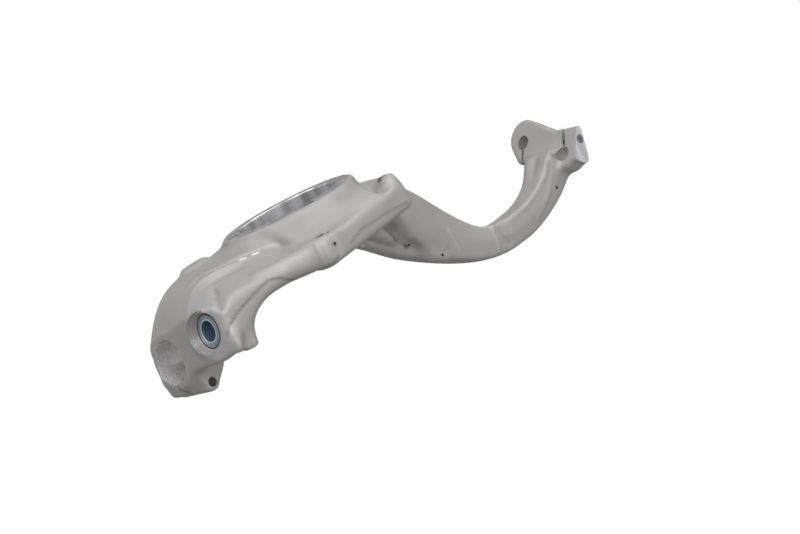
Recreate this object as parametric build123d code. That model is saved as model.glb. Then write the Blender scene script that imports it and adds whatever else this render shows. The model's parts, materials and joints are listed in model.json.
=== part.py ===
"""Steering knuckle of a multi-link front axle: one aluminium casting with a pressed-in bush.

Frame: origin where the hub bore axis meets the machined outboard hub face, +Y outboard along
the hub bore, +Z up towards the head of the neck, +X forward. Millimetres.
"""
import os
from math import cos, radians, sin

from build123d import *

os.makedirs("parts", exist_ok=True)

# ---------------------------------------------------------------- driving dimensions
# hub ring
hub_bore_r = 48.0            # seat of the wheel bearing unit
hub_ring_r = 64.5            # outboard end of the cast ring
hub_ring_root_r = 68.0       # the ring widens to here at the caliper flange, its parting plane
hub_ring_inboard_r = 66.0    # and narrows again to its inboard end
hub_length = 53.0            # outboard face to inboard face
hub_chamfer = 1.5
hub_bore_stock = 6.0         # cast inside the bore's radius before it is bored
ring_web = (67.5, 71.0, -6.0)  # thicker rear wall: outboard and flange radius, y where it is full
ring_web_start = 117.0       # degrees about +Y from +X
ring_web_arc = 76.0
bearing_bolt_pcd_r = 56.5
bearing_bolt_r = 5.5
bearing_bolt_count = 4
bearing_bolt_start = 20.0    # degrees from +X

# brake caliper flange on the rear side of the hub
caliper_face_y = -23.0       # machined outboard face of both lugs
caliper_flange = 25.0        # flange thickness behind that face
caliper_top = (-69.0, 54.0)  # x, z of the upper bolt
caliper_low = (-88.0, -53.0)
caliper_top_r = 15.0
caliper_low_r = 17.0
flange_inboard_edge_r = 6.0
flange_outboard_edge_r = 3.0
caliper_bolt_r = 6.0
caliper_spot_r = 8.0
rim_rise = 8.0               # stiffening rim from the ring to the shoulder, above the flange
flange_web = (-6.0, 4.0)     # x, z of the round web that joins the lugs to the ring
flange_web_r = 70.0
shoulder_rise = 8.5          # cast shoulder outboard of the upper lug's face
shoulder_r = 9.0
shoulder_root_r = 13.5
shoulder_offset = (4.0, 6.0)  # x, z from the upper bolt to the shoulder's centre
rim_end = (-20.0, 60.0)      # x, z where the rim meets the ring
rim_end_r = 16.0

# swan neck, stations from the hub root to the head:
# centre y, centre z, lean of the section from horizontal, depth in the bend plane, width in x
neck_stations = (
    (-36.0, 55.0, 60.0, 60.0, 74.0),
    (-52.0, 83.0, 52.0, 57.0, 62.0),
    (-77.0, 113.5, 40.0, 54.0, 48.0),
    (-96.5, 137.5, 32.0, 47.0, 38.0),
    (-115.0, 163.0, 18.0, 39.0, 32.0),
    (-129.0, 188.0, 0.0, 34.0, 30.0),
    (-138.0, 237.0, -15.0, 32.0, 30.0),
    (-129.0, 284.0, -20.0, 32.0, 32.0),
    (-119.0, 303.0, -28.0, 35.0, 36.0),
)
neck_top = (-10.0, -12.5, -40.0, 30.0, 44.0)  # last station, its y and z from the cross bolt
neck_ridge = 1.6             # the rear face rises to a blunt ridge along its middle
neck_rear_edge = 2.5         # the rear face falls off by this towards its inboard edge
neck_rear_r = 4.0            # corners of the rear face
neck_front_share = 0.32      # front corners, over the smaller side of a section
# dished valley in the rear face, between the two ribs of the neck's root: x, y, z, radius
valley_start = (-40.0, -44.0, 62.0, 16.0)
valley_end = (-34.0, -112.0, 110.0, 13.0)

# head: two ball-pin bores clamped by one cross bolt
pinch_bolt_y = -94.0
pinch_bolt_z = 332.5
head_tilt = 38.5             # pin axes from the vertical, upper ends leaning inboard
pin_bore_r = 7.5
pin_offset = 13.0            # pin axis to cross bolt axis
front_pin_x = 32.0
rear_pin_x = -27.0
front_lobe_r = 19.5
front_lobe_shift = (1.0, 6.0)  # x, depth from the front pin to the lobe's centre
rear_lobe_r = 16.0
head_under = 6.0             # cross bolt axis to the lower face of the head
rear_head_over = 12.5        # cross bolt axis to the upper face of the rear lug
rear_crown = (9.6, 2.0)      # outboard shoulder where the rear lug's upper face slopes off
rear_crown_slope = 23.0
front_head_over = 19.0
front_dome_r = 9.0
pin_slot_width = 3.0
pinch_bolt_r = 4.6
rear_pinch_face_x = -45.0
front_jaw = (6.0, -5.5, 3.0)  # inboard corner of the front jaw: x from the pin, depth, radius
front_web = (-24.0, -8.0, 20.0)  # round web from the front lobe to the neck: x and depth from the pin, radius
rear_web = (6.0, 0.0, 18.0)  # round web from the rear lug to the neck
rear_end = (8.0, 30.0, -2.0)  # rear jaw's thickness, depth and its middle from the cross bolt

# lower body between the hub and the two lower joints
# sections of the lower body from the hub down: z, its x, y corners, corner radius
body_sections = (
    (-25.0, ((42, -6), (-34, -12), (-88, -30), (-86, -46), (38, -46)), 6.0),
    (-60.0, ((42, -4), (-25, -11), (-80, -36), (-79, -49), (38, -51)), 6.0),
    (-92.0, ((41, -6), (-21, -9), (-76, -32), (-75, -44), (36, -54)), 6.0),
    (-120.0, ((41, -7), (-20, -8), (-76, -28), (-76, -45), (34, -58)), 8.0),
    (-146.0, ((40, -17), (-24, -13), (-78, -26), (-75, -57), (32, -66)), 9.0),
    (-190.0, ((35, -58), (-24, -44), (-68, -38), (-52, -56), (28, -74)), 6.0),
)
# lightening pockets in the inboard side: middle x, z, width, height
pockets = ((-39.0, -90.0, 34.0, 48.0), (6.0, -92.0, 36.0, 56.0))
pocket_floor_y = -27.0
pocket_corner_r = 8.0
pocket_draft = 5.0
outboard_pad = ((32.0, -90.0), (31.0, -102.0), 8.0, -2.5)  # two x, z ends, radius, face y
outboard_pad_depth = 30.0
lower_axis_tilt = 11.5       # both lower joint axes lean outboard going down
bush_axis = (-52.0, -44.0, -171.0)   # point on the bush axis at the lower face of the bush
bush_housing_r = 20.0
bush_web = (-22.0, -16.0, 8.0)  # foot of the housing towards the lead boss: x, depth, radius
bush_web_height = 11.0
bush_relief_r = 14.0         # room for the nut above the bush
bush_relief_height = 26.0
bush_housing_height = 34.0
bush_stock = 20.0            # cast below the bush face before the sloped underside
bush_face_slope = 17.0       # the casting's underside falls away forward across the bush
bush_drop = 4.5              # underside below the bush face, on the bush axis
clamp_axis = (9.0, -59.5, -178.5)    # point on the clamp bore axis at the lower rim
clamp_bore_r = 19.5
clamp_wall = 6.0
clamp_height = 32.0
clamp_relief_r = 21.5        # clearance above the clamped length
clamp_relief_depth = 58.0
clamp_slit = 3.0
clamp_bolt_offset = 25.5     # bore axis to the pinch bolt axis
clamp_bolt_height = 16.0     # lower rim to the pinch bolt axis
clamp_bolt_r = 4.2
clamp_lug_r = 8.0            # rounded inboard end about the pinch bolt
clamp_lug_rear = 27.0        # slit to the rear end of the rear lug
clamp_lug_front = 20.0
clamp_lug_root = (10.0, -6.0, 12.0)  # round root of the lugs: down from the bolt, y from the bore, radius

# guide boss for the sensor lead on the inboard side
lead_boss = (-66.0, -150.0)  # x, z
lead_boss_r = 7.0
lead_boss_start_y = -35.0
lead_boss_end_y = -73.0

# steering arm on the front side, its boss bored for the tie-rod pin
steer_boss = (100.0, -66.0, -52.0)
steer_boss_r = 16.0
steer_boss_height = 26.0
steer_bore_r = 7.5
steer_corner_r = 7.0
steer_sections = (           # x, y, z, depth in y, height
    (20.0, -32.0, -44.0, 34.0, 56.0),
    (52.0, -38.0, -46.0, 28.0, 42.0),
    (78.0, -52.0, -50.0, 22.0, 28.0),
    (98.0, -64.0, -52.0, 22.0, 22.0),
)

# pressed-in bush
bush_outer_r = 15.0
bush_rubber_wall = 1.2
bush_hole_r = 9.0
bush_length = 34.0
bush_recess_r = 18.5

far = 400.0                  # tool length that clears the whole casting


def tilted(point, tilt):
    """Plane at a point of the part whose z axis leans inboard going up by tilt degrees."""
    return Plane(origin=point, x_dir=(1, 0, 0), z_dir=(0, -sin(radians(tilt)), cos(radians(tilt))))


def rounded_section(z, corners, radius):
    """Closed polygon of x, y corners at height z with all its corners rounded."""
    outline = make_face(Polyline(*corners, close=True))
    return Pos(0, 0, z) * fillet(outline.vertices(), radius)


def along_y(x, z, y_start, length, radius, end_radius=None):
    """Round boss of the part's x, z that runs inboard from y_start, drafted to end_radius."""
    plane = Plane(origin=(x, y_start, z), x_dir=(1, 0, 0), z_dir=(0, -1, 0))
    if end_radius is None:
        return extrude(plane * Circle(radius), length)
    return loft([plane * Circle(radius), plane.offset(length) * Circle(end_radius)])


# ---------------------------------------------------------------- hub ring
ring_profile = Polyline(
    (hub_bore_r - hub_bore_stock, 0),
    (hub_ring_r - hub_chamfer, 0),
    (hub_ring_r, -hub_chamfer),
    (hub_ring_root_r, caliper_face_y),
    (hub_ring_inboard_r, -hub_length),
    (hub_bore_r - hub_bore_stock, -hub_length),
    close=True,
)
hub_ring = revolve(make_face(ring_profile), Axis.Y)

web_top_r, web_root_r, web_top_y = ring_web
web_inner_r = (hub_bore_r + hub_ring_r) / 2
web_end_y = caliper_face_y - flange_outboard_edge_r
web_profile = Polyline(
    (web_inner_r, -hub_chamfer),
    (hub_ring_r, -hub_chamfer),
    (web_top_r, web_top_y),
    (web_root_r, web_end_y),
    (web_inner_r, web_end_y),
    close=True,
)
rear_wall = revolve(make_face(web_profile), Axis.Y, ring_web_arc).rotate(Axis.Y, ring_web_start)

# ---------------------------------------------------------------- caliper flange
flange_outline = make_hull(
    (
        Pos(caliper_top[0], caliper_top[1]) * Circle(caliper_top_r)
        + Pos(caliper_low[0], caliper_low[1]) * Circle(caliper_low_r)
        + Pos(*flange_web) * Circle(flange_web_r)
    ).edges()
)
flange = extrude(Plane.XZ.offset(-caliper_face_y) * flange_outline, caliper_flange)
flange = fillet(flange.edges().group_by(Axis.Y)[0], flange_inboard_edge_r)
flange = fillet(flange.edges().group_by(Axis.Y)[-1], flange_outboard_edge_r)
shoulder_x = caliper_top[0] + shoulder_offset[0]
shoulder_z = caliper_top[1] + shoulder_offset[1]
shoulder_outline = make_hull(
    (Pos(shoulder_x, shoulder_z) * Circle(shoulder_r) + Pos(*rim_end) * Circle(rim_end_r)).edges()
)
rim = extrude(Plane.XZ.offset(-caliper_face_y - rim_rise) * shoulder_outline, rim_rise + caliper_flange / 2)
shoulder_length = shoulder_rise + caliper_flange - flange_inboard_edge_r
shoulder_y = caliper_face_y + shoulder_rise
shoulder = along_y(shoulder_x, shoulder_z, shoulder_y, shoulder_length, shoulder_r, shoulder_root_r)

# ---------------------------------------------------------------- lower body
lower_body = loft([rounded_section(z, corners, r) for z, corners, r in body_sections])

bush_plane = tilted(bush_axis, lower_axis_tilt)
clamp_plane = tilted(clamp_axis, lower_axis_tilt)
web_x, web_y, web_r = bush_web
foot_outline = make_hull((Circle(bush_housing_r) + Pos(web_x, web_y) * Circle(web_r)).edges())
bush_cast = bush_plane.offset(-bush_stock)
bush_housing = extrude(bush_cast * Circle(bush_housing_r), bush_housing_height + bush_stock)
bush_housing += extrude(bush_cast * foot_outline, bush_web_height + bush_stock)
clamp_housing = extrude(clamp_plane * Circle(clamp_bore_r + clamp_wall), clamp_height)
lug_length = clamp_lug_rear + clamp_lug_front
lug_mid_x = (clamp_lug_front - clamp_lug_rear) / 2
root_height, root_y, root_r = clamp_lug_root
clamp_bolt_frame = clamp_plane * Pos(lug_mid_x, -clamp_bolt_offset, clamp_bolt_height)
lug_outline = make_hull(
    (
        Circle(clamp_lug_r)
        + Pos(-clamp_bolt_height + clamp_lug_r, clamp_bolt_offset) * Circle(clamp_lug_r)
        + Pos(root_height, clamp_bolt_offset + root_y) * Circle(root_r)
    ).edges()
)
lug_block = clamp_bolt_frame * Rot(0, -90, 0) * Pos(0, 0, -lug_length / 2) * extrude(lug_outline, lug_length)

lower_body += bush_housing
lower_body -= bush_plane * Rot(0, bush_face_slope, 0) * Pos(0, 0, -bush_drop - far / 2) * Box(far, far, far)
lower_body += clamp_housing + lug_block
lower_body -= clamp_plane * Pos(0, 0, -far / 2) * Box(far, far, far)

pad_top, pad_low, pad_r, pad_face_y = outboard_pad
pad_outline = make_hull((Pos(*pad_top) * Circle(pad_r) + Pos(*pad_low) * Circle(pad_r)).edges())
pad = extrude(Plane.XZ.offset(-pad_face_y) * pad_outline, outboard_pad_depth)
lead = along_y(*lead_boss, lead_boss_start_y, lead_boss_start_y - lead_boss_end_y, lead_boss_r)


# ---------------------------------------------------------------- swan neck
def neck_section(y, z, lean, depth, width):
    """Five-sided section across the neck; lean turns its depth direction up from outboard."""
    across = Vector(0, cos(radians(lean)), sin(radians(lean)))
    plane = Plane(origin=(0, y, z), x_dir=across, z_dir=across.cross(Vector(1, 0, 0)))
    outline = make_face(
        Polyline(
            (depth / 2, width / 2),
            (depth / 2, -width / 2),
            (0, -width / 2 - neck_ridge),
            (-depth / 2, -width / 2 + neck_rear_edge),
            (-depth / 2, width / 2),
            close=True,
        )
    )
    outline = fillet(outline.vertices().group_by(Axis.Y)[-1], neck_front_share * min(depth, width))
    return plane * fillet(outline.vertices().filter_by(lambda corner: corner.Y < 0), neck_rear_r)


def cone_between(start, end):
    """Tapered round tool between two x, y, z, radius ends."""
    axis = Vector(*end[:3]) - Vector(*start[:3])
    ends = [Plane(origin=point[:3], z_dir=axis) * Circle(point[3]) for point in (start, end)]
    return loft(ends)


top_station = (pinch_bolt_y + neck_top[0], pinch_bolt_z + neck_top[1], *neck_top[2:])
neck = loft([neck_section(*station) for station in (*neck_stations, top_station)])
neck -= cone_between(valley_start, valley_end)

# ---------------------------------------------------------------- head
head_plane = tilted((0, pinch_bolt_y, pinch_bolt_z), head_tilt)
front_outline = make_hull(
    (
        Pos(front_pin_x + front_lobe_shift[0], pin_offset + front_lobe_shift[1]) * Circle(front_lobe_r)
        + Pos(front_pin_x + front_jaw[0], front_jaw[1]) * Circle(front_jaw[2])
        + Pos(front_pin_x + front_web[0], pin_offset + front_web[1]) * Circle(front_web[2])
    ).edges()
)
rear_outline = make_hull(
    (
        Pos(rear_pin_x, -pin_offset) * Circle(rear_lobe_r)
        + Pos(rear_pinch_face_x + rear_end[0] / 2, rear_end[2]) * Rectangle(rear_end[0], rear_end[1])
        + Pos(rear_web[0], rear_web[1]) * Circle(rear_web[2])
    ).edges()
)
front_lobe = extrude(head_plane.offset(-head_under) * front_outline, head_under + front_head_over)
front_lobe = fillet(front_lobe.edges().group_by(Axis(head_plane.origin, head_plane.z_dir))[-1], front_dome_r)
rear_lug = extrude(head_plane.offset(-head_under) * rear_outline, head_under + rear_head_over)
rear_lug -= (
    head_plane
    * Pos(0, rear_crown[0], rear_crown[1])
    * Rot(-rear_crown_slope, 0, 0)
    * Pos(0, 0, far / 2)
    * Box(far, far, far)
)

# ---------------------------------------------------------------- steering arm
arm_end = Plane(origin=steer_boss, x_dir=(1, 0, 0))
steering_boss = extrude(arm_end.offset(-steer_boss_height / 2) * Circle(steer_boss_r), steer_boss_height)
steering_arm = loft(
    [
        Plane(origin=(x, y, z), x_dir=(0, 1, 0), z_dir=(1, 0, 0))
        * RectangleRounded(depth, height, steer_corner_r)
        for x, y, z, depth, height in steer_sections
    ]
)

casting = hub_ring + rear_wall + flange + rim + shoulder + lower_body + pad + lead
casting += neck + front_lobe + rear_lug
casting += steering_arm + steering_boss

# ---------------------------------------------------------------- machining
casting -= Plane.XZ * Cylinder(hub_bore_r, far)
for lug in (caliper_top, caliper_low):
    casting -= along_y(*lug, caliper_face_y + far, far, caliper_spot_r)
    casting -= along_y(*lug, caliper_face_y, far, caliper_bolt_r)
casting -= arm_end * Cylinder(steer_bore_r, 2 * steer_boss_height)
bearing_bolts = PolarLocations(bearing_bolt_pcd_r, bearing_bolt_count, start_angle=bearing_bolt_start)
casting -= Plane.XZ * bearing_bolts * Cylinder(bearing_bolt_r, far)
casting -= extrude(clamp_plane * Circle(clamp_bore_r), clamp_height)
clamp_relief = clamp_plane.offset(clamp_height) * Circle(clamp_relief_r)
casting -= extrude(clamp_relief, clamp_relief_depth - clamp_height)
casting -= clamp_plane * Pos(0, -far / 2, 0) * Box(clamp_slit, far, 2 * clamp_relief_depth)
casting -= clamp_bolt_frame * Rot(0, 90, 0) * Cylinder(clamp_bolt_r, far / 2)
casting -= bush_plane * Pos(0, 0, bush_length / 2) * Cylinder(bush_outer_r, bush_length)
casting -= bush_plane * Pos(0, 0, -bush_stock) * Cylinder(bush_recess_r, 2 * bush_stock)
casting -= extrude(bush_plane.offset(bush_length) * Circle(bush_relief_r), bush_relief_height)
for x, z, width, height in pockets:
    pocket_plane = Plane(origin=(x, pocket_floor_y, z), x_dir=(1, 0, 0), z_dir=(0, -1, 0))
    pocket_outline = pocket_plane * RectangleRounded(width, height, pocket_corner_r)
    casting -= extrude(pocket_outline, hub_length, taper=-pocket_draft)
slot_reach = 3 * pin_offset
for pin_x, pin_y, slot_y in (
    (front_pin_x, pin_offset, pin_offset - slot_reach / 2),
    (rear_pin_x, -pin_offset, slot_reach / 2 - pin_offset),
):
    casting -= head_plane * Pos(pin_x, pin_y) * Cylinder(pin_bore_r, far / 4)
    casting -= head_plane * Pos(pin_x, slot_y) * Box(pin_slot_width, slot_reach, far / 4)
casting -= head_plane * Rot(0, 90, 0) * Cylinder(pinch_bolt_r, far / 2)

sleeve = bush_plane * Pos(0, 0, bush_length / 2) * (
    Cylinder(bush_outer_r - bush_rubber_wall, bush_length) - Cylinder(bush_hole_r, bush_length)
)
rubber = bush_plane * Pos(0, 0, bush_length / 2) * (
    Cylinder(bush_outer_r, bush_length) - Cylinder(bush_outer_r - bush_rubber_wall, bush_length)
)
print("solids", len(casting.solids()), "volume", casting.volume)
export_step(casting, "parts/knuckle.step")
export_step(sleeve, "parts/bush_sleeve.step")
export_step(rubber, "parts/bush_rubber.step")
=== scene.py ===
"""Looks of a steering knuckle: a cast aluminium body with machined seats, and its pressed-in bush."""
import json
import math

import bmesh
import bpy
import numpy as np
import openvdb
from mathutils import Matrix, Vector
from mathutils.bvhtree import BVHTree

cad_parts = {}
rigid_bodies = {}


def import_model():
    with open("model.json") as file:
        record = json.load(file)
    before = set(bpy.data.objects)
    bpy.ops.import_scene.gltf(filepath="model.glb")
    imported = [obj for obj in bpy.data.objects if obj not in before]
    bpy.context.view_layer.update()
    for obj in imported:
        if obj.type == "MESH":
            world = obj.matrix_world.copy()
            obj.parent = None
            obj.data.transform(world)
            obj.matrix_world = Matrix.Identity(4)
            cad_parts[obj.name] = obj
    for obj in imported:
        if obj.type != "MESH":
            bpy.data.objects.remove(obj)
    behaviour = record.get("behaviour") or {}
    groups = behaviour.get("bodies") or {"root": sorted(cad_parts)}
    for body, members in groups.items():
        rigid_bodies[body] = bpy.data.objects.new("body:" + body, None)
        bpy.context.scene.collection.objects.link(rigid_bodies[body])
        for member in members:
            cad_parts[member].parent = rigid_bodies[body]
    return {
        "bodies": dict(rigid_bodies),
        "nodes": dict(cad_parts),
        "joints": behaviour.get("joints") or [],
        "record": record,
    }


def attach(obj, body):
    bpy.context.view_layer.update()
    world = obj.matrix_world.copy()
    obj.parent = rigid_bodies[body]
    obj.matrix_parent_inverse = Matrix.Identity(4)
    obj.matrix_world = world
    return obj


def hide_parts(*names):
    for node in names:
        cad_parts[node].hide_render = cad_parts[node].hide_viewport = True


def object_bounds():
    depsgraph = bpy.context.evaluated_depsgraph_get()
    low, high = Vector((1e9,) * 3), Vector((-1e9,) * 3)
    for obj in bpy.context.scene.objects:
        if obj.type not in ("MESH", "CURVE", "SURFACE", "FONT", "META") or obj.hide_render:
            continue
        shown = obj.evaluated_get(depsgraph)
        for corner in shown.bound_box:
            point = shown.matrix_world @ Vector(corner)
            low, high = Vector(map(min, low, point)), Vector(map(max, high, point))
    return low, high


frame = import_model()
cad_low, cad_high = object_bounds()

# ---------------------------------------------------------------- camera
# The knuckle hangs by its hub bore. The camera looks at it from the rear and from below,
# rolled so that the hub axis points up and the neck runs to the right.
camera_place = Vector((-1.25200, 0.18255, -0.97850))
towards_camera = Vector((-0.75075, 0.17207, -0.63778)).normalized()
image_right = Vector((-0.63620, -0.44823, 0.62797))
image_right = (image_right - towards_camera * image_right.dot(towards_camera)).normalized()
image_up = towards_camera.cross(image_right)
camera_turn = Matrix((image_right, image_up, towards_camera)).transposed().to_4x4()

camera_data = bpy.data.cameras.new("camera")
camera_data.sensor_width = 36.0
camera_data.lens = 81.0
camera = bpy.data.objects.new("camera", camera_data)
bpy.context.scene.collection.objects.link(camera)
camera.matrix_world = Matrix.Translation(camera_place) @ camera_turn
bpy.context.scene.camera = camera
bpy.context.scene.view_settings.view_transform = "Standard"

# ---------------------------------------------------------------- studio
# A pale floor below the part, a white surround for the camera and for reflections, and large
# soft lamps: one from the rear of the part, one from below, and a weaker one from outboard.
part_middle = Vector((0, -0.07, 0.09))
floor_height = -1.15
floor_reach = 3.0
mirrored_white = 0.12    # share of the white surround that shiny metal mirrors
dimmest, brightest = 0.12, 0.85    # strength of the surround away from the camera and behind it


def from_camera(right, up, toward):
    """Direction in the part's axes from one given by the picture's."""
    return image_right * right + image_up * up + towards_camera * toward


def soft_lamp(name, direction, distance, size, power):
    """Square lamp at a distance from the part's middle that faces it."""
    data = bpy.data.lights.new(name, "AREA")
    data.size = size
    data.energy = power
    lamp = bpy.data.objects.new(name, data)
    away = Vector(direction).normalized()
    lamp.location = part_middle + away * distance
    lamp.rotation_euler = away.to_track_quat("Z", "Y").to_euler()
    bpy.context.scene.collection.objects.link(lamp)


soft_lamp("key_lamp", from_camera(-0.05, 0.5, 0.87), distance=2.0, size=1.3, power=16)
soft_lamp("side_lamp", from_camera(-1.0, 0.6, 0.3), distance=2.2, size=1.0, power=7)
soft_lamp("top_lamp", from_camera(0.2, 1.0, -0.1), distance=2.0, size=1.4, power=7)


class Socket:
    """A node's output that takes part in arithmetic by adding Math nodes to its tree."""

    def __init__(self, tree, output):
        self.tree, self.output = tree, output

    def node(self, kind, result, settings=None, **values):
        """Socket of a new node's result; inputs are named with _ for a space, or n0, n1 by place."""
        made = self.tree.nodes.new(kind)
        for name, value in (settings or {}).items():
            setattr(made, name, value)
        for name, value in values.items():
            key = name.replace("_", " ")
            slot = made.inputs[int(key[1:])] if key[1:].isdigit() else made.inputs[key]
            if isinstance(value, Socket):
                self.tree.links.new(value.output, slot)
            else:
                slot.default_value = value
        return Socket(self.tree, made.outputs[result])

    def maths(self, operation, *values):
        """Socket of a new Math node's result."""
        numbered = {f"n{i}": value for i, value in enumerate(values)}
        return self.node("ShaderNodeMath", "Value", {"operation": operation}, **numbered)

    def into(self, node, name):
        """Link this output to a node's input."""
        self.tree.links.new(self.output, node.inputs[name])

    def __add__(self, other):
        return self.maths("ADD", self, other)

    def __mul__(self, other):
        return self.maths("MULTIPLY", self, other)

    def __sub__(self, other):
        return self.maths("SUBTRACT", self, other)

    def __rsub__(self, other):
        return self.maths("SUBTRACT", other, self)

    __radd__ = __add__
    __rmul__ = __mul__


def finish_of(name, **constants):
    """New material, its shader node and a Socket of the part's own coordinates."""
    material = bpy.data.materials.new(name)
    material.use_nodes = True
    shader = material.node_tree.nodes["Principled BSDF"]
    for socket, value in constants.items():
        shader.inputs[socket.replace("_", " ")].default_value = value
    place = material.node_tree.nodes.new("ShaderNodeTexCoord")
    return material, shader, Socket(material.node_tree, place.outputs["Object"])


world = bpy.data.worlds.new("surround")
bpy.context.scene.world = world
world.use_nodes = True
world.node_tree.nodes.clear()
direction_node = world.node_tree.nodes.new("ShaderNodeTexCoord")
surround = Socket(world.node_tree, direction_node.outputs["Generated"])
ray = world.node_tree.nodes.new("ShaderNodeLightPath")
seen, through, mirrored = (
    Socket(world.node_tree, ray.outputs[kind])
    for kind in ("Is Camera Ray", "Is Transmission Ray", "Is Glossy Ray")
)
white_share = mirrored_white * mirrored + surround.maths("MAXIMUM", seen, through)
facing = surround.node(
    "ShaderNodeVectorMath",
    "Value",
    {"operation": "DOT_PRODUCT"},
    n0=surround,
    n1=from_camera(0.0, 0.4, 0.92),
)
glow = surround.node(
    "ShaderNodeMapRange",
    "Result",
    Value=facing,
    From_Min=-0.8,
    From_Max=1.0,
    To_Min=dimmest,
    To_Max=brightest,
)
dim = surround.node("ShaderNodeBackground", "Background", Color=(1, 1, 1, 1), Strength=glow)
white = surround.node("ShaderNodeBackground", "Background", Color=(1, 1, 1, 1), Strength=1.0)
lit = surround.node("ShaderNodeMixShader", "Shader", n0=white_share, n1=dim, n2=white)
lit.into(world.node_tree.nodes.new("ShaderNodeOutputWorld"), "Surface")

floor_bmesh = bmesh.new()
bmesh.ops.create_grid(floor_bmesh, x_segments=1, y_segments=1, size=floor_reach)
bmesh.ops.translate(floor_bmesh, verts=floor_bmesh.verts, vec=(0, 0, floor_height))
floor_mesh = bpy.data.meshes.new("floor")
floor_bmesh.to_mesh(floor_mesh)
floor_bmesh.free()
floor_mesh.materials.append(finish_of("pale_floor", Base_Color=(0.8, 0.8, 0.8, 1), Roughness=0.8)[0])
floor = bpy.data.objects.new("floor", floor_mesh)
bpy.context.scene.collection.objects.link(floor)

# ---------------------------------------------------------------- casting
# One gravity-cast aluminium body, shot-blasted to a soft satin skin. Its walls flow into each
# other with cast fillets, and the seats for the bearing, pins, bolts and bush are machined.


def noise(place, scale, detail=3.0, roughness=0.55):
    """Fine mottling between 0 and 1."""
    return place.node(
        "ShaderNodeTexNoise", "Fac", Vector=place, Scale=scale, Detail=detail, Roughness=roughness
    )


def between(mask, low, high):
    """Colour from low to high as the mask goes from 0 to 1."""
    return mask.node(
        "ShaderNodeMix", "Result", {"data_type": "RGBA"}, Factor=mask, A=(*low, 1), B=(*high, 1)
    )


cast_skin, cast_shader, cast_place = finish_of("cast_skin", Metallic=0.5)
cloud = noise(cast_place, 22.0, detail=2.0)
plain_skin = between(cloud, (0.44, 0.425, 0.42), (0.53, 0.51, 0.505))
# painted light and shade: the skin's colour is scaled up for painted highlights and down for painted
# shade
painted_light_factor = cast_place.node("ShaderNodeAttribute", "Fac", {"attribute_name": "shade"})
skin_with_painted_light = cast_place.node(
    "ShaderNodeVectorMath", "Vector", {"operation": "SCALE"}, n0=plain_skin, Scale=1 + painted_light_factor
)
skin_with_painted_light.into(cast_shader, "Base Color")
(0.52 + 0.1 * cloud).into(cast_shader, "Roughness")
blasted = cast_place.node(
    "ShaderNodeBump", "Normal", Strength=0.35, Distance=0.0002, Height=noise(cast_place, 900.0)
)
blasted.into(cast_shader, "Normal")

machined_seat, seat_shader, seat_place = finish_of("machined_seat", Metallic=0.8)
# painted reflection: the machined colour runs in light and dark bands along the hub's axis
stretched_place = seat_place.node(
    "ShaderNodeMapping", "Vector", {"vector_type": "TEXTURE"}, Vector=seat_place, Scale=(1, 40, 1)
)
painted_reflection_bands = seat_place.node(
    "ShaderNodeMapRange",
    "Result",
    Value=noise(stretched_place, 75.0, detail=1.0),
    From_Min=0.35,
    From_Max=0.65,
)
between(painted_reflection_bands, (0.47, 0.47, 0.48), (0.88, 0.88, 0.90)).into(seat_shader, "Base Color")
(0.24 + 0.1 * noise(seat_place, 300.0)).into(seat_shader, "Roughness")

faced_seat, faced_shader, faced_place = finish_of(
    "faced_seat", Metallic=0.6, Base_Color=(0.56, 0.54, 0.53, 1)
)
(0.34 + 0.1 * noise(faced_place, 300.0)).into(faced_shader, "Roughness")

bright_seat, bright_shader, bright_place = finish_of(
    "bright_seat", Metallic=0.35, Base_Color=(0.66, 0.65, 0.65, 1)
)
(0.22 + 0.1 * noise(bright_place, 300.0)).into(bright_shader, "Roughness")

# The cast form is worked on as distances to its surface, on a grid about the whole casting.
# The grids measure in metres; the arrays of their values, and all sizes after them, in mm.
voxel = 0.0016
band = 6    # voxels of distance kept on each side of a surface
longest_step = 0.008    # a surface moves less than the band at a time
cast_fillet = 0.0055    # inner corners of the whole casting
wide_fillet = 0.0150    # inner corners where the ring, flange and lower body flow together
cast_edge = 0.0018    # outer edges
edge_round = 0.0060    # rounder outer edges of the flange and the bush housing
spacing = openvdb.createLinearTransform(voxelSize=voxel)
first = np.floor(np.array(cad_low) / voxel).astype(int) - 4
last = np.ceil(np.array(cad_high) / voxel).astype(int) + 4
axes = [np.arange(a, b + 1, dtype=np.float32) * voxel * 1000 for a, b in zip(first, last)]


def level_set(points, triangles=None, quads=None):
    """Signed distance grid of a closed mesh."""
    return openvdb.FloatGrid.createLevelSetFromPolygons(
        points, triangles=triangles, quads=quads, transform=spacing, halfWidth=band
    )


def moved(grid, distance):
    """The grid of the surface that lies at a distance outside the given one."""
    steps = math.ceil(abs(distance) / longest_step)
    for _ in range(steps):
        points, triangles, quads = grid.convertToPolygons(isovalue=distance / steps, adaptivity=0.0)
        grid = level_set(points, triangles, quads)
    return grid


def to_array(grid):
    """Distances of a grid in mm, as an array over the whole casting."""
    values = np.empty([len(axis) for axis in axes], np.float32)
    grid.copyToArray(values, ijk=first.tolist())
    return values * 1000


def to_grid(values):
    """Grid of an array of distances in mm."""
    grid = openvdb.FloatGrid(band * voxel)
    grid.transform = spacing
    grid.gridClass = openvdb.GridClass.LEVEL_SET
    grid.copyFromArray(np.clip(values / 1000, -band * voxel, band * voxel), ijk=first.tolist())
    return grid


def near(low, high):
    """Slices of an array about a box, and the coordinates of its cells."""
    cut = tuple(slice(*np.searchsorted(axis, ends)) for axis, ends in zip(axes, zip(low, high)))
    places = [axis[part] for axis, part in zip(axes, cut)]
    return cut, np.meshgrid(*places, indexing="ij", sparse=True)


def ramp(value, start, end):
    """Rise from 0 at the start to 1 at the end."""
    return np.clip((value - start) / (end - start), 0, 1)


def smooth_min(one, other, soft):
    """Lower of two distances, blended over a width."""
    share = np.clip(0.5 + 0.5 * (other - one) / soft, 0, 1)
    return other * (1 - share) + one * share - soft * share * (1 - share)


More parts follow.
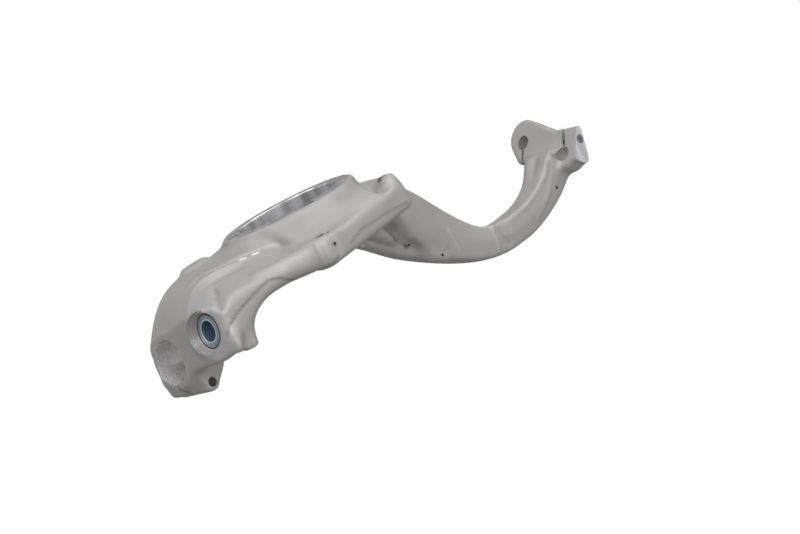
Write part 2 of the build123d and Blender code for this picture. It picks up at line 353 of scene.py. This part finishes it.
def carve(distances, path, soft, sign):
    """Blend in a round ridge (sign 1) or valley (sign -1); a path gives x, y, z and radius."""
    path = np.array(path, float)
    reach = path[:, 3].max() + 10
    cut, (x, y, z) = near(path[:, :3].min(0) - reach, path[:, :3].max(0) + reach)
    nearest = None
    for (x0, y0, z0, r0), (x1, y1, z1, r1) in zip(path, path[1:]):
        dx, dy, dz = x1 - x0, y1 - y0, z1 - z0
        share = (x - x0) * dx + (y - y0) * dy + (z - z0) * dz
        share = np.clip(share / (dx * dx + dy * dy + dz * dz), 0, 1)
        away_x, away_y, away_z = x - x0 - share * dx, y - y0 - share * dy, z - z0 - share * dz
        away = np.sqrt(away_x**2 + away_y**2 + away_z**2) - r0 - share * (r1 - r0)
        nearest = away if nearest is None else np.minimum(nearest, away)
    distances[cut] = sign * smooth_min(sign * distances[cut], nearest, soft)


def frame_at(origin, up):
    """Frame at a point: x forward, z along up."""
    up = Vector(up).normalized()
    side = up.cross(Vector((1, 0, 0))).normalized()
    turn = Matrix((side.cross(up), side, up)).transposed().to_4x4()
    return Matrix.Translation(origin) @ turn


def fill_bore(distances, frame, radius, low, high, limit=None):
    """Fill from low to high along a frame's z; limit is a frame whose z side stays open."""
    origin, axis = np.array(frame.translation), np.array(frame.col[2][:3])
    reach = radius + abs(high) + abs(low)
    cut, (x, y, z) = near(origin - reach, origin + reach)
    x, y, z = x - origin[0], y - origin[1], z - origin[2]
    height = x * axis[0] + y * axis[1] + z * axis[2]
    wall = np.sqrt(np.maximum(x * x + y * y + z * z - height * height, 0)) - radius
    filled = np.maximum(np.maximum(wall, low - height), height - high)
    if limit is not None:
        (cap_x, cap_y, cap_z), out = np.array(limit.translation) - origin, limit.col[2]
        cap = (x - cap_x) * out[0] + (y - cap_y) * out[1] + (z - cap_z) * out[2]
        filled = np.maximum(filled, cap)
    distances[cut] = np.minimum(distances[cut], filled)


# The seats stand where the part's mounts are. The head, and the clamp and bush bores of the lower
# body, lean inboard from the vertical.
mounts = {mount["name"]: mount for mount in frame["record"]["mounts"]}
radius_of = {name: mount["dims"].get("r_mm") for name, mount in mounts.items()}
head_tilt = 38.5    # degrees
lower_tilt = 11.5


def place_of(name):
    """Middle of a mount."""
    return Vector(mounts[name]["pos_m"]) * 1000


def mouth_of(name):
    """Frame at the end of a mount's bore, with z out of it."""
    axis = Vector(mounts[name]["axis"])
    return frame_at(place_of(name) + axis * mounts[name]["dims"]["length_mm"] / 2, axis)


def leaning(tilt):
    """Direction that leans inboard from the vertical."""
    return 0, -math.sin(math.radians(tilt)), math.cos(math.radians(tilt))


hub = frame_at(place_of("hub_bore"), mounts["hub_bore"]["axis"])
ring_radius = 64    # outside of the hub ring
upper_lug = mouth_of("caliper_upper")
lower_lug = mouth_of("caliper_lower")
head = frame_at(place_of("pinch_bolt"), leaning(head_tilt))
front_pin = head @ Matrix.Translation((32, 13, 0))
rear_pin = head @ Matrix.Translation((-27, -13, 0))
head_top = head @ Matrix.Translation((0, 9.6, 2)) @ Matrix.Rotation(math.radians(-23), 4, "X")
clamp = frame_at((9, -59.5, -178.5), leaning(lower_tilt))
clamp_bolt = clamp @ Matrix.Translation((0, -25.5, 16))
bush = frame_at((-52, -44, -171), leaning(lower_tilt))
underside = bush @ Matrix.Rotation(math.radians(17), 4, "Y") @ Matrix.Translation((0, 0, -4.5))
underside = underside @ Matrix.Rotation(math.pi, 4, "X")
steering = frame_at(place_of("tie_rod_bore"), (0, 0, 1))
bolts = mounts["bearing_bolts"]["dims"]
first_bolt = math.radians(20)
bolt_holes = [
    frame_at((bolts["pcd_mm"] / 2 * math.cos(turn), 0, bolts["pcd_mm"] / 2 * math.sin(turn)), (0, 1, 0))
    for turn in (first_bolt + 2 * math.pi * i / bolts["count"] for i in range(bolts["count"]))
]

source = bmesh.new()
source.from_mesh(frame["nodes"]["knuckle"].data)
bmesh.ops.remove_doubles(source, verts=source.verts, dist=1e-6)
bmesh.ops.triangulate(source, faces=source.faces)
corners = np.array([vertex.co[:] for vertex in source.verts], np.float32)
faces = np.array([[vertex.index for vertex in face.verts] for face in source.faces], np.uint32)
source.free()
body = to_array(level_set(corners, faces))

# The casting is whole before it is machined. A filled bore is smaller than the cut that opens it
# again, so that no trace of the old wall is left.
undersize = 0.4
bush_bore = 15
bush_step = 14
bush_recess = 18.5
bush_rim = 16.8
lug_radius = radius_of["caliper_upper"]
pin_radius = radius_of["upper_rear_pin"]
clamp_radius = radius_of["lower_clamp"]
fill_bore(body, hub, ring_radius, -3, 4)
for seat, radius, low, high, limit in (
    (hub, radius_of["hub_bore"], -53, 0, None),
    *((hole, bolts["hole_r_mm"], -53, 0, None) for hole in bolt_holes),
    (front_pin, pin_radius, -6, 19, None),
    (rear_pin, pin_radius, -6, 12.5, head_top),
    (clamp, clamp_radius, 0, 34, None),
    (bush, bush_recess, -14, 1, underside),
    (bush, bush_bore, 0, 34, None),
    (steering, radius_of["tie_rod_bore"], -13, 13, None),
    (upper_lug, lug_radius, -25, 0, None),
    (lower_lug, lug_radius, -25, 0, None),
):
    fill_bore(body, seat, radius - undersize, low, high, limit)

upper_lug_shoulder = [(-68, -20.5, 57, 8.5), (-74, -20.5, 55.5, 8.5)]
carve(body, upper_lug_shoulder, 2, 1)

# the clamped end of the rear lug stands proud before it is faced
lug_end, proud_end = -43, -50
cut, (x, y, z) = near((-54, -140, 300), (lug_end, -60, 370))
end = np.searchsorted(axes[0], lug_end)
body[cut] = np.maximum(body[end : end + 1, cut[1], cut[2]], proud_end - x)

# cast fillets; the wide ones fade out towards the neck, the clamp and the hidden front side
solid = moved(to_grid(body), cast_fillet)
body = to_array(moved(solid, -cast_fillet))
flowing = to_array(moved(moved(solid, wide_fillet - cast_fillet), -wide_fillet))
cut, (x, y, z) = near((-120, -62, -184), (60, 10, 75))
rear = ramp(x, -50, -65)
low_rear = rear * ramp(z, -115, -135)
blend = ramp(z + 145 + 33 * rear, 0, 25 - 10 * rear) * ramp(z, 34, 14)
blend = blend * ramp(y + 44 + 14 * low_rear, 0, 14)
blend = blend * ramp(x, 30, 10)
body[cut] = body[cut] * (1 - blend) + flowing[cut] * blend

# the ring's wall runs down to the flange's outer edge as a cone, over the flange's own outline
cone_slope = (0.555, 0.832)
cut, (x, y, z) = near((-108, -34, -80), (-20, 1, 60))
middle = np.searchsorted(axes[1], -36)
outline = body[cut[0], middle : middle + 1, cut[2]] + 1.5
cone = (np.sqrt(x * x + z * z) - ring_radius) * cone_slope[0] + (y + 2) * cone_slope[1]
for limit, soft in ((outline, 8), (z - 36, 4), (-64 - z, 12)):
    cone = -smooth_min(-cone, -limit, soft)
body[cut] = smooth_min(body[cut], cone, 4)

lower_lug_webs = [
    [(-95, -31, -62, 7), (-84, -30, -76, 7), (-74, -28.5, -92, 6), (-66, -28, -112, 5)],
    [(-95.5, -39, -62, 7), (-85, -38, -77, 7), (-75, -35.5, -94, 6), (-67, -34, -114, 5)],
]
for web in lower_lug_webs:
    carve(body, web, 8, 1)

# the neck leaves the ring a little further inboard than the straight run of its sections
neck_shift = 2.6
shifts = neck_shift * ramp(axes[2], 72, 94) * ramp(axes[2], 235, 190)
for level, shift in enumerate(shifts):
    if shift > 0:
        whole, part = divmod(shift / (voxel * 1000), 1)
        rows = np.minimum(np.arange(len(axes[1])) + int(whole), len(axes[1]) - 2)
        body[:, :, level] = body[:, rows, level] * (1 - part) + body[:, rows + 1, level] * part

# rounder edges on the flange and the bush housing, and a wide fillet where neck and head meet
fade = 12
rounder = to_array(moved(moved(to_grid(body), -edge_round), edge_round))
for shape, low, high in (
    (rounder, (-125, -46, -50), (-60, -5, 42)),
    (flowing, (-24, -135, 275), (70, -60, 345)),
    (rounder, (-98, -68, -190), (-56, -24, -134)),
):
    cut, places = near(low, high)
    blend = 1.0
    for value, start, stop in zip(places, low, high):
        blend = blend * ramp(value, start, start + fade) * ramp(value, stop, stop - fade)
    body[cut] = body[cut] * (1 - blend) + shape[cut] * blend

# ridges and valleys of the cast skin, carved in this order because each flows into the last
crest_hollow = [
    (-41, -11, -101, 6), (-38, -9.5, -114, 8), (-35, -8.5, -127, 8), (-37, -9.5, -140, 7),
]
crest_ridge = [
    (-36, -18, -78, 2.5), (-31.4, -15, -94.6, 3), (-28.8, -13.2, -107.3, 3.2),
    (-24.6, -11.7, -125.6, 3.2), (-22.6, -12.7, -137.8, 3), (-24, -15.5, -147, 2.5),
]
wall_foot = [(-45.4, -17.8, -137.7, 4.2), (-59.8, -23.1, -147.9, 4.2), (-73.3, -28.7, -158.9, 4)]
foot_groove = [(-43.9, -15.2, -140, 5), (-58.8, -20.3, -151.7, 5), (-74.9, -27.3, -164.3, 5)]
head_rib_inner = [
    (-13, -127, 220, 3), (-13, -126, 240, 3), (-13.3, -124.5, 255, 3), (-13.5, -120.4, 270, 3),
    (-14.3, -115.5, 283, 3), (-15.7, -110, 294, 3), (-17.4, -99, 303.5, 3), (-8, -94, 324, 3),
]
head_rib_outer = [
    (-13, -141.5, 259, 3), (-13.8, -137, 270, 3), (-15, -131, 280, 3), (-15.7, -124.7, 289.5, 3),
    (-16.3, -117, 296.4, 3), (-17.6, -109.5, 304, 3), (-18.9, -100.8, 309, 3),
]
neck_rib_low = [
    (-18.2, -98.4, 142.2, 3), (-17.3, -104.6, 143.3, 3), (-15.6, -112.7, 145.3, 3),
    (-14.2, -119.9, 146.3, 3),
]
neck_rib_high = [(-13.6, -121.4, 199.3, 3), (-14.5, -129.1, 196.3, 3), (-11.8, -143.3, 194, 3)]
neck_dip = [(-17.4, -127, 206.6, 3), (-18.1, -135.1, 206.3, 3), (-15.8, -144.9, 211.5, 3)]
head_hollow = [(0, -87.5, 306.5, 8), (-3, -101.0, 288.2, 7)]
root_ridge_front = [
    (-13, -48, 34, 6), (-13, -66, 53.5, 6), (-13, -89, 82.7, 6), (-12, -108, 112, 6),
    (-11, -119, 130, 5),
]
root_ridge_rear = [(-19, -62, 94, 6), (-18, -84, 110, 6), (-14, -106, 132, 5)]
root_web = [
    (-22, -52, 51, 8), (-22, -58, 58, 8), (-20, -74, 79, 8), (-16, -82, 90, 8), (-14, -96, 106, 7),
]
root_valley = [
    (-25, -50, 68, 7.5), (-25, -64, 75.5, 7), (-25, -73, 80, 7), (-24.5, -86, 88, 6),
    (-23.5, -98, 99, 4.5),
]
clamp_corner = [
    (16, -74, -177, 5.5), (16, -86, -177, 5.5), (24, -86, -177, 5.5), (26, -76, -177.5, 5.5),
    (24, -68, -178, 5),
]
for path, soft, sign in (
    (crest_hollow, 3, -1),
    (crest_ridge, 2, 1),
    (wall_foot, 1.5, 1),
    (foot_groove, 1.5, -1),
    (head_rib_inner, 2, 1),
    (head_rib_outer, 2, 1),
    (neck_rib_low, 1.5, 1),
    (neck_rib_high, 1.5, 1),
    (neck_dip, 1.5, -1),
    (head_hollow, 2, -1),
    (root_ridge_front, 4, 1),
    (root_ridge_rear, 5, 1),
    (root_web, 5, 1),
    (root_valley, 3, -1),
    (clamp_corner, 3, 1),
):
    carve(body, path, soft, sign)

# the upper end of the flange is flat, at a slant
end_x, end_y, end_z = -70, -14.3, 68.5
way_x, way_y, way_z = Vector((-0.63, 0.203, 0.749)).normalized()
cut, (x, y, z) = near((-110, -44, 40), (-42, 0, 90))
inside = (end_x - x) * way_x + (end_y - y) * way_y + (end_z - z) * way_z
body[cut] = -smooth_min(-body[cut], inside, 2)

# the casting stays inside the solid's own box
box_gap = 0.05
for axis, place in enumerate(np.meshgrid(*axes, indexing="ij", sparse=True)):
    below = cad_low[axis] * 1000 + box_gap - place
    above = place - cad_high[axis] * 1000 + box_gap
    body = np.maximum(body, np.maximum(below, above))

skin = moved(to_grid(body), -cast_edge)
points, triangles, quads = skin.convertToPolygons(isovalue=cast_edge, adaptivity=0.0)
casting_mesh = bpy.data.meshes.new("casting")
casting_mesh.from_pydata(points.tolist(), [], [quad[::-1].tolist() for quad in quads])
casting_mesh.update()
casting = bpy.data.objects.new("casting", casting_mesh)
bpy.context.scene.collection.objects.link(casting)
casting_mesh.materials.append(cast_skin)
casting_mesh.shade_smooth()


def rod(tools, frame, rings, turned=False, segments=96):
    """Add a turned tool: rings of height and radius along the frame's z, or its x if turned."""
    if turned:
        frame = frame @ Matrix.Rotation(math.pi / 2, 4, "Y")
    profile = [tools.verts.new(frame @ Vector((radius, 0, height)) / 1000) for height, radius in rings]
    lines = [tools.edges.new(ends) for ends in zip(profile, profile[1:])]
    bmesh.ops.spin(
        tools,
        geom=profile + lines,
        axis=frame.col[2][:3],
        cent=frame.translation / 1000,
        steps=segments,
        angle=2 * math.pi,
        use_merge=True,
    )
    bmesh.ops.holes_fill(tools, edges=[edge for edge in tools.edges if edge.is_boundary])


def block(tools, frame, centre, size):
    """Add a box-shaped tool given by its centre and size in a frame."""
    made = bmesh.ops.create_cube(tools, size=1)["verts"]
    bmesh.ops.scale(tools, verts=made, vec=size)
    bmesh.ops.translate(tools, verts=made, vec=centre)
    bmesh.ops.transform(tools, verts=made, matrix=Matrix.Scale(0.001, 4) @ frame)


def machine(casting, tools, finish):
    """Cut the tools out of the casting; the new faces take a finish."""
    tool_mesh = bpy.data.meshes.new("tools")
    bmesh.ops.recalc_face_normals(tools, faces=tools.faces)
    tools.to_mesh(tool_mesh)
    tools.free()
    tool_mesh.materials.append(finish)
    tool = bpy.data.objects.new("tools", tool_mesh)
    bpy.context.scene.collection.objects.link(tool)
    cut = casting.modifiers.new("machining", "BOOLEAN")
    cut.operation = "DIFFERENCE"
    cut.solver = "MANIFOLD"
    cut.material_mode = "TRANSFER"
    cut.object = tool
    evaluated = casting.evaluated_get(bpy.context.evaluated_depsgraph_get())
    result = bpy.data.meshes.new_from_object(evaluated)
    casting.modifiers.clear()
    casting.data = result
    bpy.data.objects.remove(tool)


# the cast rim of the lower lug keeps a thin gap
tools = bmesh.new()
rod(tools, lower_lug, [(-0.9, 9), (0, 9)])
machine(casting, tools, cast_skin)

# turned seats: the hub bore and steering bore with chamfered mouths, the bush bore, and the rear lug's
# end
hub_radius, tie_rod_radius = radius_of["hub_bore"], radius_of["tie_rod_bore"]
rear_lug_face = -44.7
tools = bmesh.new()
rod(tools, hub, [(-80, hub_radius), (-1.2, hub_radius), (2, hub_radius + 3.2)], segments=160)
rod(tools, bush, [(-2, bush_bore), (34, bush_bore), (34, bush_step), (60, bush_step)])
rod(
    tools,
    steering,
    [
        (-20, tie_rod_radius + 1.4),
        (-12.2, tie_rod_radius),
        (12.2, tie_rod_radius),
        (20, tie_rod_radius + 7.8),
    ],
)
block(tools, head, (rear_lug_face - 20, 0, 0), (40, 80, 80))
machine(casting, tools, machined_seat)

# faced seats: the stepped recess round the bush, and the two pin bores
tools = bmesh.new()
rod(tools, bush, [(-30, bush_recess), (-3, bush_recess), (-3, bush_rim), (0.02, bush_rim)])
for pin in (front_pin, rear_pin):
    rod(tools, pin, [(-40, pin_radius), (40, pin_radius)])
machine(casting, tools, faced_seat)

# the clamp bore, chamfered at its mouth and relieved above its grip
clamp_grip, clamp_relief, relief_end = 32, 21.5, 58
tools = bmesh.new()
rod(
    tools,
    clamp,
    [
        (-20, clamp_radius + 3.5),
        (0.8, clamp_radius),
        (clamp_grip, clamp_radius),
        (clamp_grip, clamp_relief),
        (relief_end, clamp_relief),
    ],
)
machine(casting, tools, bright_seat)

# hub facing, stepped lug bores, and the slots that let the head close on its pins
hub_face = -0.15
lug_thread = 4.5
slot_length = 39
tools = bmesh.new()
block(tools, hub, (0, 0, hub_face + 10), (240, 240, 20))
for lug, step in ((upper_lug, 0.5), (lower_lug, -0.3)):
    rings = [(-40, lug_radius), (step, lug_radius), (step, lug_thread), (25, lug_thread)]
    rod(tools, lug, rings, segments=48)
block(tools, front_pin, (0, -slot_length / 2, 0), (3, slot_length, 100))
block(tools, rear_pin, (0, slot_length / 2, 0), (4, slot_length, 100))
machine(casting, tools, machined_seat)

# the slit that lets the clamp close
tools = bmesh.new()
block(tools, clamp, (0, -50, 0), (3, 100, 116))
machine(casting, tools, cast_skin)

# bolt holes: four for the bearing, one across the head and one across the clamp
bolt_radius = bolts["hole_r_mm"]
cross_radius, clamp_bolt_radius = radius_of["pinch_bolt"], radius_of["clamp_bolt"]
tools = bmesh.new()
for hole in bolt_holes:
    rod(tools, hole, [(-56, bolt_radius), (5, bolt_radius)], segments=48)
rod(tools, head, [(-80, cross_radius), (80, cross_radius)], turned=True, segments=48)
rings = [(-60, clamp_bolt_radius), (60, clamp_bolt_radius)]
rod(tools, clamp_bolt, rings, turned=True, segments=48)
machine(casting, tools, machined_seat)

# four small pits in the cast skin, each with its depth
pit_radius = 1.2
pits = {
    (-104.9, -32, -55.2): 7,
    (-17.5, -127.4, 300.1): 7,
    (-23.0, -87.1, 87.1): 12,
    (-15.9, -114.9, 124.6): 9,
}
tools = bmesh.new()
for spot, depth in pits.items():
    rod(tools, frame_at(spot, towards_camera), [(-depth, pit_radius), (12, pit_radius)], segments=24)
machine(casting, tools, cast_skin)

finished = bmesh.new()
finished.from_mesh(casting.data)
bmesh.ops.remove_doubles(finished, verts=finished.verts, dist=2e-5)
surface = BVHTree.FromBMesh(finished)
spots = np.array([vertex.co[:] for vertex in finished.verts], np.float32) * 1000
shade = np.zeros(len(spots), np.float32)


def paint_light_and_shade(path, width, amount):
    """Paint light or shade into the skin's colour along a path that is laid onto the casting."""
    laid = []
    for start, end in zip(path, path[1:]):
        start, end = Vector(start[:3]), Vector(end[:3])
        steps = max(1, round((end - start).length / 5))
        for i in range(steps + 1):
            spot = surface.find_nearest(start.lerp(end, i / steps) / 1000)[0]
            laid.append(np.array(spot) * 1000)
    laid = np.array(laid)
    low, high = laid.min(0) - 3 * width, laid.max(0) + 3 * width
    close = np.all((spots > low) & (spots < high), axis=1)
    nearest = np.full(close.sum(), 1e9, np.float32)
    for start, end in zip(laid, laid[1:]):
        way = end - start
        share = np.clip((spots[close] - start) @ way / max(way @ way, 1e-9), 0, 1)
        away = np.linalg.norm(spots[close] - start - share[:, None] * way, axis=1)
        nearest = np.minimum(nearest, away)
    shade[close] += amount * np.exp(-((nearest / width) ** 2))


# painted light and shade in the skin's colour: painted shade along the parting lines, in valleys and
# pits,
# at the ring's foot, beside the lower lug and along the upper lug's spot face; painted highlights on
# ridges and edges
flange_line = [
    (-83.9, -41.7, 55.8), (-88.5, -38.5, 32.7), (-93.3, -37.5, 8.2), (-98.2, -36, -16.7),
    (-102.3, -39.8, -37.8),
]
parting_line = [
    (-103.3, -43, -58), (-92.1, -43, -68.7), (-80, -42, -80), (-75.5, -36.4, -95.3),
    (-75.3, -32.1, -111.8), (-76.5, -34.3, -128.7), (-76.7, -38.5, -149.9), (-74.9, -45.4, -166.7),
    (-73.4, -51.3, -170.6),
]
beside_parting = [(x, y - 3, z) for x, y, z in parting_line]
upper_lug_line = [
    (-61.4, -21.8, 51.5), (-61.3, -22.4, 56.1), (-63.2, -22.7, 59.5), (-66.8, -22.5, 61.7),
]
crest_line = [
    (-11.1, -10.9, -138.1), (-12.1, -8.4, -125.8), (-23.3, -9.2, -115.2), (-25.2, -10.4, -100.2),
    (-26.6, -11.7, -84.7), (-29.7, -13.3, -73.6), (-40.7, -18.1, -59.4),
]
painted_glint_low = [(-31.5, -13.2, -95), (-32, -13.6, -90)]
painted_glint_high = [(-33, -14.5, -82), (-34, -15, -77)]
lower_lug_edge = [(-98.2, -26.5, -66.6), (-98.1, -34, -66.7), (-98, -41.4, -66.7)]
lower_lug_side = [(-95, -26.5, -68.5), (-95, -34, -68.7), (-95, -41.4, -68.7)]
lower_lug_front = [(-105, -26.4, -51), (-104.8, -35.5, -52), (-104.2, -44, -53)]
ring_foot = [(-68.4, -12, 0), (-67.2, -12, 12), (-58.8, -12.8, 30.3), (-52, -13, 40)]
# each row gives a path, a width in mm and an amount: above 0 painted light, below 0 painted shade
for path, width, amount in (
    (flange_line, 1.1, -0.3),
    (parting_line, 1.1, -0.45),
    (upper_lug_line, 0.9, -0.85),
    (beside_parting, 1.6, 0.1),
    (crest_line, 2.2, 0.25),
    # two painted glints on the crest, brighter than the skin's own colour
    (painted_glint_low, 1.3, 2.5),
    (painted_glint_high, 1.2, 2.5),
    (wall_foot, 1.8, 0.12),
    (lower_lug_edge, 1.3, 0.14),
    (lower_lug_side, 1.6, -0.12),
    (lower_lug_front, 3, 0.1),
    (ring_foot, 9, -0.22),
    (foot_groove, 2.2, -0.2),
    (root_valley, 7, -0.42),
    *(([spot, spot], 1.8, -0.7) for spot in pits),
    (neck_rib_low, 1.8, 0.16),
    (neck_rib_high, 1.8, 0.16),
    (neck_dip, 1.8, -0.12),
):
    paint_light_and_shade(path, width, amount)

# machined edges stay crisp, and the skin between them is smooth
for edge in finished.edges:
    sides = {face.material_index for face in edge.link_faces}
    edge.smooth = len(sides) == 1 and edge.calc_face_angle(0) < math.radians(40)
finished.to_mesh(casting.data)
finished.free()
casting.data.attributes.new("shade", "FLOAT", "POINT").data.foreach_set("value", shade)

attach(casting, "root")
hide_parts("knuckle")

# ---------------------------------------------------------------- bush
# A zinc-plated steel sleeve, blue-passivated, in a thin black rubber ring that is pressed into
# the casting from below. The sleeve is bluest in the hole, and its bevel about the hole is painted
# bright, a painted highlight.
hole_edge, bevel_edge = 0.0091, 0.0101    # radii about the bush's axis, in metres
zinc_plate, plated_shader, plated_place = finish_of("zinc_plate", Metallic=0.75, Roughness=0.3)
from_axis = plated_place.node(
    "ShaderNodeVectorMath",
    "Vector",
    {"operation": "SUBTRACT"},
    n0=plated_place,
    n1=bush.translation / 1000,
)
from_axis = plated_place.node(
    "ShaderNodeVectorMath",
    "Vector",
    {"operation": "CROSS_PRODUCT"},
    n0=from_axis,
    n1=bush.col[2][:3],
)
radius = plated_place.node("ShaderNodeVectorMath", "Value", {"operation": "LENGTH"}, n0=from_axis)
in_hole = radius.maths("LESS_THAN", radius, hole_edge)
# painted highlight: a near-white ring on the bevel about the hole
on_bevel = radius.maths("LESS_THAN", radius, bevel_edge) - in_hole
plating_with_highlight = between(on_bevel, (0.34, 0.43, 0.48), (0.85, 0.9, 0.93))
blued = plated_place.node(
    "ShaderNodeMix",
    "Result",
    {"data_type": "RGBA"},
    Factor=in_hole,
    A=plating_with_highlight,
    B=(0.28, 0.42, 0.53, 1),
)
blued.into(plated_shader, "Base Color")
frame["nodes"]["bush_sleeve"].data.materials.clear()
frame["nodes"]["bush_sleeve"].data.materials.append(zinc_plate)

black_rubber = finish_of("black_rubber", Base_Color=(0.008, 0.008, 0.009, 1), Roughness=0.6)[0]
frame["nodes"]["bush_rubber"].data.materials.clear()
frame["nodes"]["bush_rubber"].data.materials.append(black_rubber)
